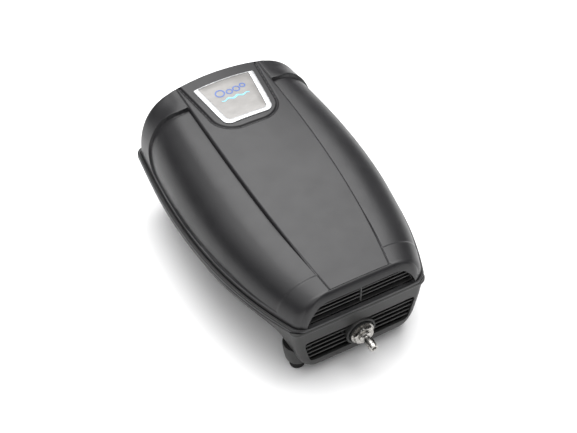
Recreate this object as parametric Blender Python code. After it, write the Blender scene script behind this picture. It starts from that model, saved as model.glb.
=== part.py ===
"""Pond air pump: a lift-off hood over a tub, with a lever-type double diaphragm drive inside.

Metres, +Z up. The front, with both grilles and the hose outlet, faces -Y. The origin is on the
ground under the middle of the overall box. A depth is measured backwards from the rim's front.
"""

import math

import bmesh
import bpy
import numpy as np
from mathutils import Matrix, Vector

# Driving dimensions.
RIM_LENGTH = 0.307
NOZZLE_REACH = 0.024  # how far the hose barb stands out in front of the rim
FRONT = (NOZZLE_REACH - RIM_LENGTH) / 2  # y of the rim's front edge
RIM_HALF_WIDTHS = (0.0696, 0.0965, 0.1063, 0.1050, 0.0974)  # at even steps, front to rear
REAR_BOW = 1.0  # how strongly the rear edge curves, 1/m
FRONT_BOW = 0.1
CORNER_FRONT = 0.0085
CORNER_REAR = 0.0065
GAP = 0.0003

# Hood: a centre panel between two side panels that roll over into the walls.
BEAD_BOTTOM = 0.0734
BEAD_TOP = 0.0768
PANEL_FRONT = 0.008  # depth of the centre panel's front edge
PANEL_REAR = 0.297
PANEL_HALF_WIDTHS = (0.0318, 0.0415, 0.0462, 0.0475, 0.0470)
PANEL_HEIGHTS = (0.1099, 0.1233, 0.1324, 0.1379, 0.1406)
PANEL_CROWN = (0.0006, 0.0034)  # front and rear
WALL_INSETS = (0.0038, 0.0008, 0.0042)  # from the rim at the sides, front and rear
HOOD_WALL = 0.0028
ROLL_POWER = 2.35  # a higher power makes a squarer shoulder
RECESS_DEPTH = 0.0042
CORNER_DROP = 0.0025  # how far the rear corners sink below the full shoulder
RECESS_ENDS = (0.024, 0.271)
ROLL_SHARES = (0.0, 0.02, 0.05, 0.14, 0.3, 0.52, 0.78, 0.97, 1.0)
MIDDLE_DEPTHS = (
    0.0140, 0.0240, 0.0400, 0.0600, 0.0850, 0.1100, 0.1350,
    0.1600, 0.1850, 0.2100, 0.2400, 0.2695, 0.2725, 0.2840,
)
PANEL_COLUMNS = 6

# Badge: half widths at its rear and front, front and rear depths and corner radius.
BADGE_OUTLINES = (
    (0.0345, 0.0272, 0.2210, 0.2825, 0.0090),
    (0.0290, 0.0225, 0.2265, 0.2815, 0.0060),
    (0.0286, 0.0221, 0.2269, 0.2811, 0.0056),
)
BADGE_LIFTS = (0.0005, 0.0011, 0.0015)  # underside, plate and frame above the panel
BADGE_MIDDLE = 0.254

# Upper grille in the hood's mouth.
MOUTH_BOTTOM = 0.0774
MOUTH_TOP = 0.100
MOUTH_HALF = 0.0583
MOUTH_TOP_HALF = 0.0440
SLAT_HEIGHTS = (0.0862, 0.0908, 0.0954)
SLAT_THICKNESS = 0.0016
GRILLE_DEPTHS = (0.0044, 0.0068)
GRILLE_FRAME = 0.0014

# Tub rings from the rim down: height, then insets at the sides, front and rear.
TUB_RIM_TOP = 0.0730
TUB_RINGS = (
    (0.0700, 0.0000, 0.0000, 0.0000),
    (0.0690, 0.0038, 0.0008, 0.0038),
    (0.0520, 0.0085, 0.0012, 0.0080),
    (0.0300, 0.0165, 0.0015, 0.0120),
    (0.0220, 0.0225, 0.0018, 0.0170),
    (0.0150, 0.0310, 0.0030, 0.0240),
    (0.0115, 0.0400, 0.0068, 0.0320),
)
TUB_WALL = 0.0026
FLOOR_TOP = 0.0141  # inside the tub
LEDGE_TOP = 0.0710  # the step that carries the seal
POST_RADIUS = 0.0055

# Feet.
FRONT_FOOT = (0.057, 0.023)  # x and depth, also of the hood screw above it
REAR_FOOT = (0.070, 0.262)
PAD_RADIUS = 0.0074
PAD_HEIGHT = 0.0100
LEG = ((0.0090, 0.0103), (0.0116, 0.0130), (0.0132, 0.0220), (0.0146, 0.0340))  # radius and height

# Hose outlet.
OUTLET_HEIGHT = 0.039
BOSS_RADIUS = 0.016
LOUVRE_BOTTOM = 0.0248
LOUVRE_PITCH = 0.0060
LOUVRE_SLOT = 0.0042
LOUVRE_COUNT = 5
LOUVRE_REACH = 0.0525  # half width of the lowest slot

# Drive.
CHASSIS = (0.058, 0.062, 0.190, 0.024, 0.027)  # half width, first and last depth, bottom and top
LEVER_X = 0.018
PIVOT_DEPTH = 0.071
ROD_DEPTH = 0.095
DRIVE_HEIGHT = 0.058
TIP_DEPTH = 0.126
CHAMBER_X = (0.042, 0.058)
CORE_FRONT = 0.1335
CORE_REAR = 0.178
CORE_HALF_HEIGHT = 0.017

# Filter drawer in the rear wall.
DRAWER_HALF = 0.032
DRAWER_DEPTHS = (0.205, 0.2855)
DRAWER_HEIGHTS = (0.027, 0.047)
GLAND = (0.050, 0.036)  # x and height


def material(name, colour, roughness, metallic=0.0):
    made = bpy.data.materials.new(name)
    made.use_nodes = True
    shader = made.node_tree.nodes["Principled BSDF"]
    shader.inputs["Base Color"].default_value = (*colour, 1.0)
    shader.inputs["Roughness"].default_value = roughness
    shader.inputs["Metallic"].default_value = metallic
    return made


def place(name, verts, faces, paint, sharp=30.0):
    """Makes an object from points and faces, with its faces turned outwards."""
    mesh = bpy.data.meshes.new(name)
    mesh.from_pydata([tuple(map(float, v)) for v in verts], [], faces)
    work = bmesh.new()
    work.from_mesh(mesh)
    bmesh.ops.remove_doubles(work, verts=work.verts, dist=1e-6)
    bmesh.ops.recalc_face_normals(work, faces=work.faces)
    work.to_mesh(mesh)
    work.free()
    mesh.shade_smooth()
    mesh.set_sharp_from_angle(angle=math.radians(sharp))
    mesh.materials.append(paint)
    made = bpy.data.objects.new(name, mesh)
    bpy.context.scene.collection.objects.link(made)
    return made


def loft(loops, ring=False):
    """Points and faces of a skin through loops of equal length: capped, or closed into a ring."""
    count = len(loops[0])
    verts = [point for loop in loops for point in loop]
    faces = []
    for k in range(len(loops) if ring else len(loops) - 1):
        a, b = k * count, (k + 1) % len(loops) * count
        for i in range(count):
            n = (i + 1) % count
            faces.append((a + i, a + n, b + n, b + i))
    if not ring:
        faces.append(tuple(range(count))[::-1])
        faces.append(tuple(range(len(verts) - count, len(verts))))
    return verts, faces


def box(name, low, high, paint):
    """A block given by x, depth and height of two corners."""
    (x0, d0, z0), (x1, d1, z1) = low, high
    corners = ((x0, d0), (x1, d0), (x1, d1), (x0, d1))
    loops = [[(x, FRONT + d, z) for x, d in corners] for z in (z0, z1)]
    return place(name, *loft(loops), paint)


def turned(name, profile, centre, axis, paint, sides=24, ring=False):
    """A turned piece: (radius, distance) pairs along the axis from a centre of x, depth and height."""
    turn = Vector((0, 0, 1)).rotation_difference(Vector(axis)).to_matrix()
    origin = Vector((centre[0], FRONT + centre[1], centre[2]))
    loops = []
    for radius, along in profile:
        angles = [2 * math.pi * (i + 0.5) / sides for i in range(sides)]
        circle = [(radius * math.cos(a), radius * math.sin(a), along) for a in angles]
        loops.append([origin + turn @ Vector(point) for point in circle])
    return place(name, *loft(loops, ring), paint)


def prism(name, outline, plane, low, high, paint):
    """An outline stretched between two levels. The plane is 'xd', 'xz' or 'dz'."""
    spots = {
        "xd": lambda p, level: (p[0], FRONT + p[1], level),
        "xz": lambda p, level: (p[0], FRONT + level, p[1]),
        "dz": lambda p, level: (level, FRONT + p[0], p[1]),
    }[plane]
    return place(name, *loft([[spots(p, level) for p in outline] for level in (low, high)]), paint)


def arc(centre, radius, start, end, steps):
    angles = [math.radians(start + (end - start) * i / steps) for i in range(steps + 1)]
    return [(centre[0] + radius * math.cos(a), centre[1] + radius * math.sin(a)) for a in angles]


def combine(target, others, operation):
    """Adds pieces to a target, or cuts them from it, by one Boolean."""
    merged = bmesh.new()
    for other in others:
        merged.from_mesh(other.data)
        bpy.data.objects.remove(other)
    mesh = bpy.data.meshes.new(f"{target.name}_{operation.lower()}")
    merged.to_mesh(mesh)
    merged.free()
    tool = bpy.data.objects.new(mesh.name, mesh)
    bpy.context.scene.collection.objects.link(tool)
    tool.hide_render = True
    tool.display_type = "WIRE"
    cut = target.modifiers.new(operation.title(), "BOOLEAN")
    cut.operation = operation
    cut.solver = "EXACT"
    cut.object = tool


def even_curve(values):
    """A smooth curve through values at even steps of 0 to 1."""
    return np.poly1d(np.polyfit(np.linspace(0, 1, len(values)), values, len(values) - 1))


RIM_CURVE = even_curve(RIM_HALF_WIDTHS)
PANEL_WIDTH_CURVE = even_curve(PANEL_HALF_WIDTHS)
PANEL_HEIGHT_CURVE = even_curve(PANEL_HEIGHTS)


def smooth(value):
    value = np.clip(value, 0.0, 1.0)
    return value * value * (3 - 2 * value)


def rim_half(depth):
    return RIM_CURVE(np.clip(depth / RIM_LENGTH, 0, 1))


def panel_share(depth):
    return np.clip((depth - PANEL_FRONT) / (PANEL_REAR - PANEL_FRONT), 0, 1)


def panel_half(depth):
    return PANEL_WIDTH_CURVE(panel_share(depth))


def panel_height(depth, across=1.0):
    """Height of the centre panel, where across runs from -1 to 1 between its edges."""
    share = panel_share(depth)
    crown = PANEL_CROWN[0] + (PANEL_CROWN[1] - PANEL_CROWN[0]) * share
    return PANEL_HEIGHT_CURVE(share) + crown * (1 - across * across)


def roll(share):
    """Height share of the shoulder, from 0 at the wall's foot to 1 at the panel's edge."""
    return (1 - (1 - share) ** ROLL_POWER) ** (1 / ROLL_POWER)


def bowed(x, depth):
    """Moves a depth so that the front and rear edges curve in plan."""
    rear = REAR_BOW * x * x * smooth((depth - 0.6 * RIM_LENGTH) / (0.4 * RIM_LENGTH))
    front = FRONT_BOW * x * x * smooth(1 - depth / (0.3 * RIM_LENGTH))
    return depth + front - rear


def recess(depth, share):
    """How deep the side panel lies under the hood's full shape."""
    if not 0.04 < share < 0.99 or depth > RECESS_ENDS[1]:
        return 0.0
    return float(RECESS_DEPTH * smooth((depth - RECESS_ENDS[0]) / 0.07) * (0.4 + 0.6 * share))


def corner_drop(x, depth, share):
    """How far the hood sinks towards its two rear corners."""
    place_share = smooth((abs(x) - 0.045) / 0.014) * smooth((depth - 0.262) / 0.028)
    return float(CORNER_DROP * place_share * 4 * share * (1 - share))


def hood_point(i, j, columns, rows, inner):
    """One point of the hood's skin. Rings of points run round the rim and close in on the panel."""
    rings = len(ROLL_SHARES) + 2
    wall = HOOD_WALL if inner else 0.0
    insets = [inset + wall for inset in WALL_INSETS]
    bead = [0.0, 0.0, 0.001] if not inner else [insets[0]] * 3
    ring = min(i, columns - i, j, rows - j, rings)

    def toward(k, outer, target):
        """Inset of line k, between the wall's foot and the panel's edge."""
        if k < 3:
            return min(bead[k], outer)
        return outer + ROLL_SHARES[k - 3] * (target - outer)

    front_line = j if j <= rings else None
    rear_line = rows - j if rows - j <= rings else None
    if front_line is not None:
        depth = toward(front_line, insets[1], PANEL_FRONT + wall)
    elif rear_line is not None:
        depth = RIM_LENGTH - toward(rear_line, insets[2], RIM_LENGTH - PANEL_REAR + wall)
    else:
        depth = MIDDLE_DEPTHS[j - rings - 1]

    def side_x(k, at_depth):
        width = rim_half(at_depth)
        return width - toward(k, insets[0], width - panel_half(at_depth))

    column = min(i, columns - i)
    sign = -1 if 2 * i < columns else 1
    across = 1.0
    if column <= rings:
        x = side_x(column, depth)
    else:
        across = abs(2 * (i - rings) / PANEL_COLUMNS - 1)
        x = across * panel_half(depth)

    share = 1.0 if ring < 3 else ROLL_SHARES[min(ring, rings) - 3]
    if ring < rings:
        fading = 1.0 if ring < 3 else 1 - share
        at_front = depth < RIM_LENGTH / 2
        corner = (CORNER_FRONT if at_front else CORNER_REAR) * fading - (0.5 * wall if inner else 0)
        corner = max(corner, 0.0005)
        start = toward(ring, insets[1], PANEL_FRONT + wall)
        stop = RIM_LENGTH - toward(ring, insets[2], RIM_LENGTH - PANEL_REAR + wall)
        past_x = x - (side_x(ring, depth) - corner)
        past_d = start + corner - depth if at_front else depth - (stop - corner)
        if past_x > 0 and past_d > 0:
            pull = max(past_x, past_d) / math.hypot(past_x, past_d)
            x += past_x * (pull - 1)
            depth += past_d * (pull - 1) * (-1 if at_front else 1)

    if ring < 3:
        z = (BEAD_BOTTOM, BEAD_TOP - 0.0008, BEAD_TOP)[ring]
        if inner:
            z = BEAD_BOTTOM + ring * 0.0011
    else:
        top = panel_height(depth, across)
        if inner:
            top -= HOOD_WALL + RECESS_DEPTH * smooth((depth - RECESS_ENDS[0]) / 0.07)
        z = BEAD_TOP + (top - BEAD_TOP) * roll(share) - corner_drop(x, depth, share)
        if not inner and column < rings and ring == column:
            sunk = recess(depth, share)
            spread = rim_half(depth) - insets[0] - panel_half(depth)
            rise = (top - BEAD_TOP) * (roll(share + 0.005) - roll(share - 0.005)) / 0.01 if sunk else 0.0
            length = math.hypot(spread, rise)
            x -= sunk * rise / length
            z -= sunk * spread / length
    return sign * x, FRONT + bowed(x, depth), z


def hood_shell(paint):
    """The hood: an outer and an inner skin on the same lines, joined round the bottom edge."""
    rings = len(ROLL_SHARES) + 2
    columns = 2 * rings + PANEL_COLUMNS
    rows = 2 * rings + len(MIDDLE_DEPTHS) + 1
    verts = []
    for inner in (False, True):
        for j in range(rows + 1):
            verts += [hood_point(i, j, columns, rows, inner) for i in range(columns + 1)]
    line = columns + 1
    layer = line * (rows + 1)
    faces = []
    for j in range(rows):
        for i in range(columns):
            a = j * line + i
            faces.append((a, a + 1, a + line + 1, a + line))
            faces.append((layer + a, layer + a + line, layer + a + line + 1, layer + a + 1))
    edge = list(range(line))
    edge += [j * line + columns for j in range(1, rows + 1)]
    edge += [rows * line + i for i in range(columns - 1, -1, -1)]
    edge += [j * line for j in range(rows - 1, 0, -1)]
    for a, b in zip(edge, edge[1:] + edge[:1]):
        faces.append((b, a, layer + a, layer + b))
    return place("hood", verts, faces, paint)


def side_panel_height(x, depth):
    """Height of the hood's outside over a point of a side panel."""
    outer = rim_half(depth) - WALL_INSETS[0]
    share = (outer - x) / (outer - panel_half(depth))
    return BEAD_TOP + (panel_height(depth) - BEAD_TOP) * roll(share) - recess(depth, share)


def mouth_outline(inset=0.0):
    """The mouth's outline, x and height, with rounded top corners."""
    bottom, top = MOUTH_BOTTOM + inset, MOUTH_TOP - inset
    half, top_half = MOUTH_HALF - inset, MOUTH_TOP_HALF - 0.6 * inset
    bend = 0.5 * (half + top_half) + 0.0035
    right = [(half, bottom), (half - 0.0022, bottom + 0.006), (bend, top - 0.0055), (top_half, top)]
    return right + [(-x, z) for x, z in right[::-1]]


def make_hood(paints):
    hood = hood_shell(paints["shell"])
    shell = paints["shell"]
    posts = []
    cutters = [prism("mouth", mouth_outline(), "xz", -0.006, 0.016, shell)]
    for x, depth in (FRONT_FOOT, REAR_FOOT):
        top = side_panel_height(x + POST_RADIUS, depth) - 0.0016  # ends inside the hood's wall
        for side in (-1, 1):
            spot = (side * x, depth, 0)
            post = [(0.0050, BEAD_BOTTOM), (POST_RADIUS, top)]
            posts.append(turned("post", post, spot, (0, 0, 1), shell, 12))
            bore = [(0.0019, 0.07), (0.0019, 0.088)]
            cutters.append(turned("bore", bore, spot, (0, 0, 1), shell, 10))
    combine(hood, posts, "UNION")
    combine(hood, cutters, "DIFFERENCE")
    return hood


def make_upper_grille(paints):
    clearance = 0.0005
    grille = prism("upper_grille", mouth_outline(clearance), "xz", *GRILLE_DEPTHS, paints["grille"])
    half = SLAT_THICKNESS / 2
    edges = [MOUTH_BOTTOM + clearance + GRILLE_FRAME - half, *SLAT_HEIGHTS]
    edges.append(MOUTH_TOP - clearance - GRILLE_FRAME + half)
    slots = []
    for low, high in zip(edges, edges[1:]):
        bottom, top = low + half, high - half
        reach = MOUTH_HALF - 0.0035 - 0.55 * (top - MOUTH_BOTTOM)
        for side in (-1, 1):
            ends = sorted((side * 0.0009, side * reach))
            slots.append(box("slot", (ends[0], 0, bottom), (ends[1], 0.02, top), paints["grille"]))
    combine(grille, slots, "DIFFERENCE")


def badge_outline(half_top, half_bottom, front, rear, corner):
    """Half of the badge's outline, x and depth, from the rear middle to the front middle."""
    turn = arc((half_bottom - corner, front + corner), corner, 0, -90, 4)
    side = ((half_top + half_bottom) / 2, (front + rear) / 2)
    return [(0, rear), (half_top / 2, rear), (half_top, rear), side, *turn]


def on_panel(outline, lift):
    """A half outline mirrored into a loop on the centre panel, raised by lift."""
    loop = outline + [(0, outline[-1][1])] + [(-x, d) for x, d in outline[:0:-1]]
    return [(x, FRONT + d, panel_height(d, x / panel_half(d)) + lift) for x, d in loop]


def make_badge(paints):
    outer, inner, plate = (badge_outline(*sizes) for sizes in BADGE_OUTLINES)
    low, plate_top, high = BADGE_LIFTS
    loops = [on_panel(outer, low), on_panel(outer, high), on_panel(inner, high), on_panel(inner, low)]
    place("badge_frame", *loft(loops, True), paints["silver"])
    shares = (0.02, 0.5, 1.0)
    loops = []
    for lift, order in ((low, shares), (plate_top, shares[::-1])):
        for share in order:
            ring = [(share * x, BADGE_MIDDLE + share * (d - BADGE_MIDDLE)) for x, d in plate]
            loops.append(on_panel(ring, lift))
    place("badge_plate", *loft(loops), paints["inlay"])


def waist(depth):
    """Share of the side inset at a depth: the tub is drawn in most just behind its front corners."""
    return float(0.47 + 0.90 * smooth(depth / 0.050) - 0.37 * smooth((depth - 0.06) / 0.09))


def rim_loop(height, side, front, rear, extra=0.0):
    """A loop round the pump at one height, set in from the rim by the given insets."""
    front, rear = front + extra, rear + extra
    first, last = front + CORNER_FRONT, RIM_LENGTH - rear - CORNER_REAR
    corner_x = rim_half(first) - side * waist(first) - extra - CORNER_FRONT
    right = arc((corner_x, first), CORNER_FRONT, -90, 0, 4)
    for k in range(1, 9):
        depth = first + (last - first) * k / 9
        right.append((rim_half(depth) - side * waist(depth) - extra, depth))
    corner_x = rim_half(last) - side * waist(last) - extra - CORNER_REAR
    right += arc((corner_x, last), CORNER_REAR, 0, 90, 4)
    front_half = [(right[0][0] * s, front) for s in (0.0, 0.5)]
    rear_half = [(right[-1][0] * s, RIM_LENGTH - rear) for s in (0.66, 0.33, 0.0)]
    half = front_half + right + rear_half
    loop = half + [(-x, d) for x, d in half[-2:0:-1]]
    return [(x, FRONT + bowed(x, d), height) for x, d in loop]


def make_tub(paints):
    shell = paints["shell"]
    outside = [rim_loop(*ring) for ring in TUB_RINGS[::-1]]
    lip = [
        rim_loop(TUB_RIM_TOP, 0, 0, 0),
        rim_loop(TUB_RIM_TOP, 0.0032, 0.0032, 0.0032),
        rim_loop(LEDGE_TOP, 0.0032, 0.0032, 0.0032),
        rim_loop(LEDGE_TOP, 0.0078, 0.0064, 0.0078),
    ]
    inside = []
    for z, *insets in TUB_RINGS[2:]:
        rise = TUB_WALL if z < 0.02 else 0.0
        inside.append(rim_loop(z + rise, *insets, TUB_WALL))
    tub = place("tub", *loft(outside + lip + inside), shell)

    added, cut = [], []
    for x, depth in (FRONT_FOOT, REAR_FOOT):
        for side in (-1, 1):
            spot = (side * x, depth, 0)
            post = [(POST_RADIUS, LEG[-1][1]), (POST_RADIUS, LEDGE_TOP - 0.0001)]
            added.append(turned("leg", [*LEG, *post], spot, (0, 0, 1), shell, 20))
            stepped = [(0.0036, 0.005), (0.0036, 0.0627), (0.0021, 0.0627), (0.0021, 0.080)]
            cut.append(turned("bore", stepped, spot, (0, 0, 1), shell, 12))
    outlet = (0, 0, OUTLET_HEIGHT)
    boss = [(BOSS_RADIUS, -0.0060), (BOSS_RADIUS, 0.0006)]
    added.append(turned("boss", boss, outlet, (0, -1, 0), shell, 32))
    cut.append(turned("outlet", [(0.0042, -0.02), (0.0042, 0.02)], outlet, (0, -1, 0), shell, 16))
    cable = (GLAND[0], 0.277, GLAND[1])
    cut.append(turned("gland", [(0.0074, 0.0), (0.0074, 0.03)], cable, (0, 1, 0), shell, 16))
    low, high = DRAWER_HEIGHTS
    slack = 0.0008
    half = DRAWER_HALF + slack
    cut.append(box("doorway", (-half, 0.270, low - slack), (half, 0.315, high + slack), shell))
    combine(tub, added, "UNION")
    combine(tub, cut + louvre_cutters(shell), "DIFFERENCE")


def louvre_cutters(paint):
    """Five slots at each side of the outlet boss, longer towards the top."""
    slots = []
    for k in range(LOUVRE_COUNT):
        low = LOUVRE_BOTTOM + k * LOUVRE_PITCH
        high = low + LOUVRE_SLOT
        off = min(abs(low - OUTLET_HEIGHT), abs(high - OUTLET_HEIGHT))
        inner = math.sqrt((BOSS_RADIUS + 0.0012) ** 2 - off**2)
        outer = LOUVRE_REACH + 0.26 * (low - LOUVRE_BOTTOM)
        for side in (-1, 1):
            ends = sorted((side * inner, side * outer))
            slots.append(box("louvre", (ends[0], -0.006, low), (ends[1], 0.012, high), paint))
    return slots


def make_seal_and_feet(paints):
    seal = [(0.0713, 0.0036), (0.0731, 0.0036), (0.0731, 0.0062), (0.0713, 0.0062)]
    loops = [rim_loop(z, inset, inset, inset) for z, inset in seal]
    place("rim_gasket", *loft(loops, True), paints["rubber"])
    spots = {"front": FRONT_FOOT, "rear": REAR_FOOT}
    for end, (x, depth) in spots.items():
        for side, word in ((-1, "left"), (1, "right")):
            profile = [(PAD_RADIUS - 0.0008, 0), (PAD_RADIUS, 0.0012), (PAD_RADIUS, PAD_HEIGHT)]
            spot = (side * x, depth, 0)
            turned(f"foot_pad_{end}_{word}", profile, spot, (0, 0, 1), paints["rubber"], 20)
        for side, word in ((-1, "left"), (1, "right")):
            head = [(0.0030, 0.0596), (0.0030, 0.0624)]
            shank = [(0.0016, 0.0624), (0.0016, 0.0850), (0.0004, 0.0865)]
            spot = (side * x, depth, 0)
            turned(f"hood_screw_{end}_{word}", head + shank, spot, (0, 0, 1), paints["steel"], 10)


def make_outlet(paints):
    spot = (0, 0, OUTLET_HEIGHT)
    ahead = (0, -1, 0)
    washer = [(0.0046, 0.0009), (0.0128, 0.0009), (0.0128, 0.0021), (0.0046, 0.0021)]
    turned("outlet_washer", washer, spot, ahead, paints["rubber"], 32, True)
    nut = [(0.0046, 0.0024), (0.0106, 0.0024), (0.0120, 0.0034)]
    nut += [(0.0120, 0.0058), (0.0104, 0.0068), (0.0046, 0.0068)]
    turned("outlet_nut", nut, spot, ahead, paints["nickel"], 6, True)
    bore, tip = 0.0020, NOZZLE_REACH
    nozzle = [(0.0036, -0.0115), (0.0036, 0.0071), (0.0056, 0.0071), (0.0056, 0.0090), (0.0030, 0.0100)]
    nozzle += [(0.0029, 0.0138), (0.0046, 0.0148), (0.0040, 0.0188), (0.0046, 0.0193), (0.0040, tip)]
    nozzle += [(bore, tip), (bore, -0.0115)]
    turned("outlet_nozzle", nozzle, spot, ahead, paints["nickel"], 20, True)
    locknut = [(0.0046, -0.0108), (0.0080, -0.0108), (0.0080, -0.0066), (0.0046, -0.0066)]
    turned("outlet_locknut", locknut, spot, ahead, paints["nickel"], 6, True)
    box("air_manifold", (-0.015, 0.0120, 0.030), (0.015, 0.030, 0.048), paints["plastic"])


def make_hose(side, word, paint):
    """A rubber hose from a pump chamber to the manifold, swept along a smooth path."""
    knots = [(0.050, 0.0729, 0.050), (0.050, 0.056, 0.050), (0.042, 0.038, 0.0415)]
    knots += [(0.030, 0.021, 0.039), (0.0160, 0.021, 0.039)]
    path = bpy.data.curves.new(f"air_hose_{word}", "CURVE")
    path.dimensions = "3D"
    path.bevel_depth = 0.0040
    path.bevel_resolution = 2
    path.use_fill_caps = True
    spline = path.splines.new("POLY")
    steps = 12
    spots = []
    for k in range(steps + 1):
        t = k / steps
        weights = [math.comb(4, n) * t**n * (1 - t) ** (4 - n) for n in range(5)]
        spots.append([sum(w * knot[axis] for w, knot in zip(weights, knots)) for axis in range(3)])
    spline.points.add(steps)
    for point, (x, depth, z) in zip(spline.points, spots):
        point.co = (side * x, FRONT + depth, z, 1)
    made = bpy.data.objects.new(f"air_hose_{word}", path)
    path.materials.append(paint)
    bpy.context.scene.collection.objects.link(made)


def make_chassis(paints):
    half, first, last, bottom, top = CHASSIS
    box("chassis_plate", (-half, first, bottom), (half, last, top), paints["steel"])
    for end, x, depth in (("front", 0.030, 0.076), ("rear", 0.046, 0.178)):
        for side, word in ((-1, "left"), (1, "right")):
            profile = [(0.0070, FLOOR_TOP + GAP), (0.0070, 0.0180), (0.0052, 0.0194)]
            profile += [(0.0070, 0.0208), (0.0070, bottom - GAP)]
            spot = (side * x, depth, 0)
            turned(f"rubber_mount_{end}_{word}", profile, spot, (0, 0, 1), paints["rubber"], 16)
    back, face, reach = PIVOT_DEPTH - 0.0095, PIVOT_DEPTH - 0.0062, PIVOT_DEPTH + 0.005
    foot = top + GAP
    outline = [(back, foot), (reach, foot), (reach, foot + 0.003), (face, foot + 0.003)]
    outline += [(face, 0.044), (reach, 0.044), (reach, 0.048), (face, 0.048)]
    outline += [(face, 0.068), (reach, 0.068), (reach, 0.072), (back, 0.072)]
    prism("pivot_bracket", outline, "dz", -0.028, 0.028, paints["steel"])
    middle = DRIVE_HEIGHT
    yoke, leg, slot = 0.164, 0.033, 0.0222
    core = [(-leg, CORE_FRONT), (-slot, CORE_FRONT), (-slot, yoke)]
    core += [(-0.007, yoke), (-0.007, CORE_FRONT)]
    core += [(-x, d) for x, d in core[::-1]] + [(leg, CORE_REAR), (-leg, CORE_REAR)]
    underside = middle - CORE_HALF_HEIGHT
    prism("core", core, "xd", underside, middle + CORE_HALF_HEIGHT, paints["iron"])
    box("core_stand", (-0.030, 0.1665, foot), (0.030, CORE_REAR, underside - GAP), paints["steel"])
    # Half width, half height and depth of each frame round the coil.
    coil = [(0.0214, 0.0250, 0.1360), (0.0214, 0.0250, 0.1380)]
    coil += [(0.0095, 0.0195, 0.1380), (0.0095, 0.0195, 0.1615)]
    coil += [(0.0214, 0.0250, 0.1615), (0.0214, 0.0250, 0.1635)]
    coil += [(0.0073, 0.0173, 0.1635), (0.0073, 0.0173, 0.1360)]
    wire = [(0.0205, 0.0238, 0.1383), (0.0205, 0.0238, 0.1612)]
    wire += [(0.0098, 0.0198, 0.1612), (0.0098, 0.0198, 0.1383)]
    for name, frames, paint in (("coil_bobbin", coil, "plastic"), ("coil_winding", wire, "copper")):
        loops = []
        for wide, tall, depth in frames:
            corners = ((-wide, -tall), (wide, -tall), (wide, tall), (-wide, tall))
            loops.append([(x, FRONT + depth, middle + z) for x, z in corners])
        place(name, *loft(loops, True), paints[paint])
    box("terminal_block", (0.042, 0.205, FLOOR_TOP + GAP), (0.062, 0.230, 0.030), paints["plastic"])


def moving_origin(piece, origin):
    """Moves a piece's origin onto its joint's axis without moving its shape."""
    origin = Vector(origin)
    piece.data.transform(Matrix.Translation(-origin))
    piece.location = origin


def make_pump_side(side, word, paints):
    """One lever with its magnet, diaphragm and pump chamber. The side is -1 or 1."""
    out = (side, 0, 0)
    x = side * LEVER_X
    arm = arc((x, PIVOT_DEPTH), 0.0052, 140, 400, 12)
    arm = [(x + 0.0030, TIP_DEPTH), (x - 0.0030, TIP_DEPTH), *arm]
    lever = prism(f"lever_{word}", arm, "xd", 0.050, 0.066, paints["lever"])
    bore = [(0.0028, 0.04), (0.0028, 0.08)]
    hole = turned("hole", bore, (x, PIVOT_DEPTH, 0), (0, 0, 1), paints["lever"], 16)
    combine(lever, [hole], "DIFFERENCE")
    pin = [(0.0024, 0.0483), (0.0024, 0.0677)]
    turned(f"pivot_pin_{word}", pin, (x, PIVOT_DEPTH, 0), (0, 0, 1), paints["steel"], 16)
    tip = TIP_DEPTH + GAP
    near, far = (x - 0.007, tip, 0.046), (x + 0.007, tip + 0.005, 0.070)
    magnet = box(f"magnet_{word}", near, far, paints["magnet"])
    rod = [(0.0030, 0.0043), (0.0030, 0.0095), (0.0120, 0.0095), (0.0120, 0.0115)]
    disc = turned(f"diaphragm_disc_{word}", rod, (x, ROD_DEPTH, DRIVE_HEIGHT), out, paints["steel"], 20)
    rubber = [(0.0130, 0.0140), (0.0160, 0.0158), (0.0142, 0.0180), (0.0185, 0.0198), (0.0200, 0.0237)]
    turned(f"diaphragm_{word}", rubber, (x, ROD_DEPTH, DRIVE_HEIGHT), out, paints["rubber"], 24)
    for piece in (lever, magnet, disc):
        moving_origin(piece, (x, FRONT + PIVOT_DEPTH, DRIVE_HEIGHT))
    foot = CHASSIS[4] + GAP
    for name, radius, low, high in (
        (f"pump_chamber_{word}", 0.0215, CHAMBER_X[0], CHAMBER_X[1]),
        (f"valve_cover_{word}", 0.0190, CHAMBER_X[1] + GAP, CHAMBER_X[1] + 0.005),
    ):
        shape = arc((ROD_DEPTH, DRIVE_HEIGHT), radius, 0, 180, 12)
        shape = [(ROD_DEPTH - radius, foot), (ROD_DEPTH + radius, foot), *shape]
        prism(name, shape, "dz", side * low, side * high, paints["plastic"])
    make_hose(side, word, paints["rubber"])


def make_filter_drawer(paints):
    first, last = DRAWER_DEPTHS
    low, high = DRAWER_HEIGHTS
    wall = 0.002
    paint = paints["grille"]
    tray = box("filter_drawer", (-DRAWER_HALF, first, low), (DRAWER_HALF, last, high), paint)
    hollow = DRAWER_HALF - wall
    inside = box("inside", (-hollow, first + wall, low + wall), (hollow, last - wall, 0.06), paint)
    lip = box("lip", (-0.018, last - 0.0005, high - 0.006), (0.018, last + 0.009, high - 0.003), paint)
    combine(tray, [inside], "DIFFERENCE")
    combine(tray, [lip], "UNION")
    near, far = first + wall + 0.0005, last - wall - 0.0005
    half = hollow - 0.0005
    box("filter_pad", (-half, near, low + wall + GAP), (half, far, high - 0.006), paints["foam"])
    for side, word in ((-1, "left"), (1, "right")):
        ends = sorted((side * 0.024, side * 0.030))
        near, far = (ends[0], 0.207, FLOOR_TOP + GAP), (ends[1], 0.262, low - GAP)
        box(f"drawer_rail_{word}", near, far, paints["plastic"])


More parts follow.
